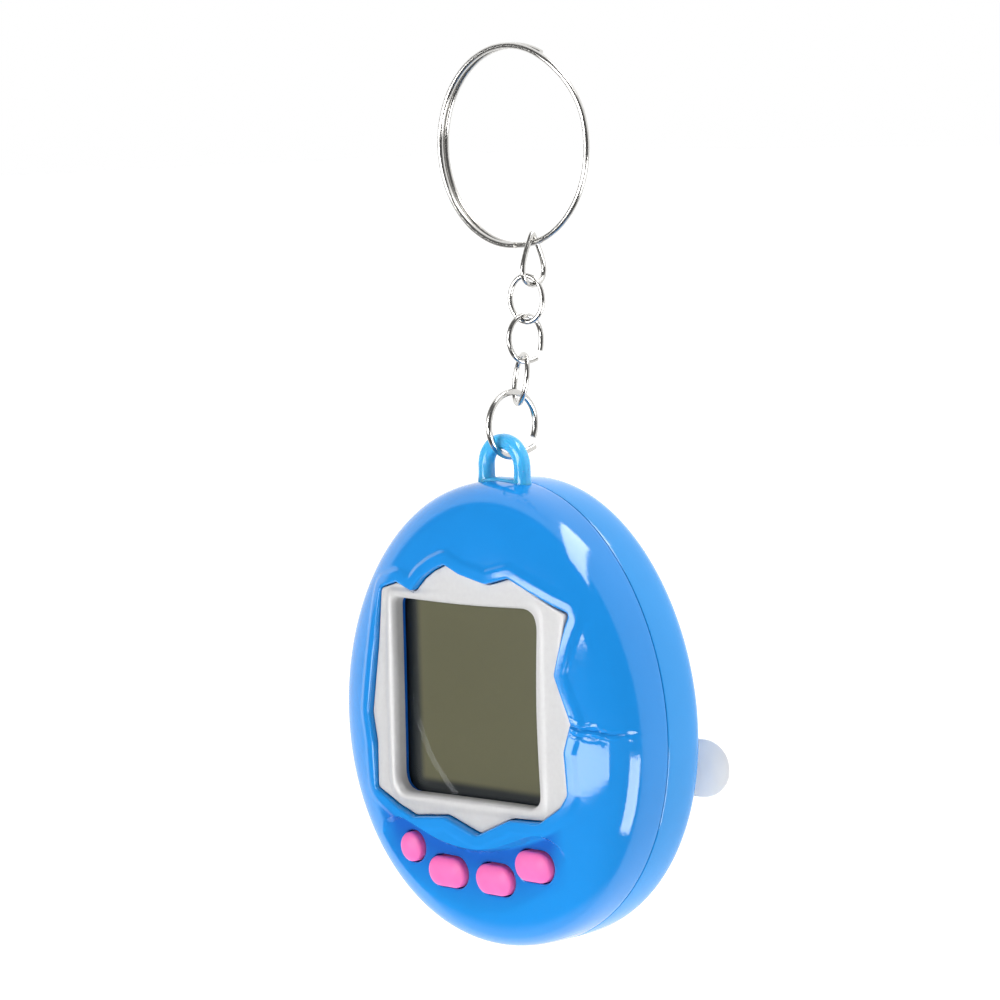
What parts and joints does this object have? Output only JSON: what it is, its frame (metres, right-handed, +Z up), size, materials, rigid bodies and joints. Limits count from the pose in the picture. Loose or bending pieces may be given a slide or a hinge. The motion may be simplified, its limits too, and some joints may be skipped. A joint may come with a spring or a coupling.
{
  "type": "virtual pet key chain",
  "caption": "Egg-shaped virtual pet with a jagged silver frame round a small display, soft push buttons, a battery pull tab, and a link chain to a split ring.",
  "frame": {"origin": "inside top of the split ring, where a hook or finger carries it", "axes": "+Z up along the hanging chain, -Y out of the display, +X to the right of someone facing the display"},
  "size_m": [0.0496, 0.0213, 0.1095],
  "materials": {
    "ring_steel": "nickel plated, bright",
    "chain_steel": "nickel plated, bright, slightly uneven",
    "blue_plastic": "glossy moulded ABS, very slightly translucent",
    "silver_plastic": "silver paint, satin",
    "clear_film": "clear protective film",
    "olive_display": "satin polariser",
    "display_glass": "clear, polished",
    "reflector_foil": "matt foil",
    "zebra_rubber": "striped elastomer",
    "board_laminate": "green solder mask",
    "black_epoxy": "cured epoxy",
    "capacitor_sleeve": "shrink sleeve",
    "component_steel": "zinc plated",
    "resistor_body": "lacquered",
    "pink_silicone": "matt silicone",
    "carbon_rubber": "conductive carbon",
    "buzzer_brass": "rolled sheet",
    "buzzer_ceramic": "silvered ceramic",
    "red_wire": "vinyl insulation",
    "black_wire": "vinyl insulation",
    "cell_steel": "nickel plated",
    "contact_plate": "tin plated",
    "frosted_film": "frosted translucent film"
  },
  "bodies": {
    "ring": {"split_ring": "ring_steel"},
    "link_1": {"chain_link_1": "chain_steel"},
    "link_2": {"chain_link_2": "chain_steel"},
    "link_3": {"chain_link_3": "chain_steel"},
    "link_4": {"chain_link_4": "chain_steel"},
    "jump_ring": {"jump_ring": "chain_steel"},
    "case": {"front_shell": "blue_plastic", "rear_shell": "blue_plastic", "screen_bezel": "silver_plastic", "screen_film": "clear_film", "lcd_polariser": "olive_display", "lcd_front_glass": "display_glass", "lcd_rear_glass": "display_glass", "lcd_reflector": "reflector_foil", "zebra_connector": "zebra_rubber", "circuit_board": "board_laminate", "chip_blob": "black_epoxy", "capacitor": "capacitor_sleeve", "clock_crystal": "component_steel", "resistor_1": "resistor_body", "resistor_2": "resistor_body", "button_mat": "pink_silicone", "buzzer_disc": "buzzer_brass", "buzzer_ceramic": "buzzer_ceramic", "buzzer_wire_red": "red_wire", "buzzer_wire_black": "black_wire", "cell_left": "cell_steel", "cell_right": "cell_steel", "contact_left": "contact_plate", "contact_right": "contact_plate", "case_screw_1": "component_steel", "case_screw_2": "component_steel", "case_screw_3": "component_steel", "case_screw_4": "component_steel"},
    "door": {"battery_door": "blue_plastic", "door_screw": "component_steel", "contact_bridge": "contact_plate"},
    "tab": {"pull_tab": "frosted_film"},
    "button_reset": {"button_reset": "pink_silicone", "pill_reset": "carbon_rubber"},
    "button_decide": {"button_decide": "pink_silicone", "pill_decide": "carbon_rubber"},
    "button_select": {"button_select": "pink_silicone", "pill_select": "carbon_rubber"},
    "button_cancel": {"button_cancel": "pink_silicone", "pill_cancel": "carbon_rubber"}
  },
  "joints": [
    {"name": "link_1_swing", "type": "hinge", "parent": "ring", "child": "link_1", "pos_m": [0.0026, 0, -0.02334], "axis": [0.9762, 0, 0.2167], "range_deg": [-25, 25]},
    {"name": "link_2_swing", "type": "hinge", "parent": "link_1", "child": "link_2", "pos_m": [0.0026, 0.0004, -0.0284], "axis": [-0.1994, 0.9799, 0], "range_deg": [-25, 25]},
    {"name": "link_3_swing", "type": "hinge", "parent": "link_2", "child": "link_3", "pos_m": [0.0016, 0.0001, -0.03288], "axis": [0.9781, 0.2079, 0], "range_deg": [-30, 30]},
    {"name": "link_4_swing", "type": "hinge", "parent": "link_3", "child": "link_4", "pos_m": [0.0012, 0.0001, -0.03769], "axis": [0.2079, 0.9781, 0], "range_deg": [-25, 25]},
    {"name": "jump_ring_swing", "type": "hinge", "parent": "link_4", "child": "jump_ring", "pos_m": [0, 0, -0.04256], "axis": [0.8829, -0.4695, 0], "range_deg": [-25, 25]},
    {"name": "case_swing", "type": "hinge", "parent": "jump_ring", "child": "case", "pos_m": [0, -0.0029, -0.04883], "axis": [0, 1, 0], "range_deg": [-45, 45]},
    {"name": "reset_press", "type": "slide", "parent": "case", "child": "button_reset", "axis": [0, 1, 0], "range_m": [0, 0.0008], "stiffness_N_per_m": 800},
    {"name": "decide_press", "type": "slide", "parent": "case", "child": "button_decide", "axis": [0, 1, 0], "range_m": [0, 0.0008], "stiffness_N_per_m": 800},
    {"name": "select_press", "type": "slide", "parent": "case", "child": "button_select", "axis": [0, 1, 0], "range_m": [0, 0.0008], "stiffness_N_per_m": 800},
    {"name": "cancel_press", "type": "slide", "parent": "case", "child": "button_cancel", "axis": [0, 1, 0], "range_m": [0, 0.0008], "stiffness_N_per_m": 800},
    {"name": "door_off", "type": "slide", "parent": "case", "child": "door", "axis": [0, 1, 0], "range_m": [0, 0.012]},
    {"name": "tab_pull", "type": "slide", "parent": "case", "child": "tab", "axis": [0.9613, 0.2756, 0], "range_m": [0, 0.0182]}
  ]
}
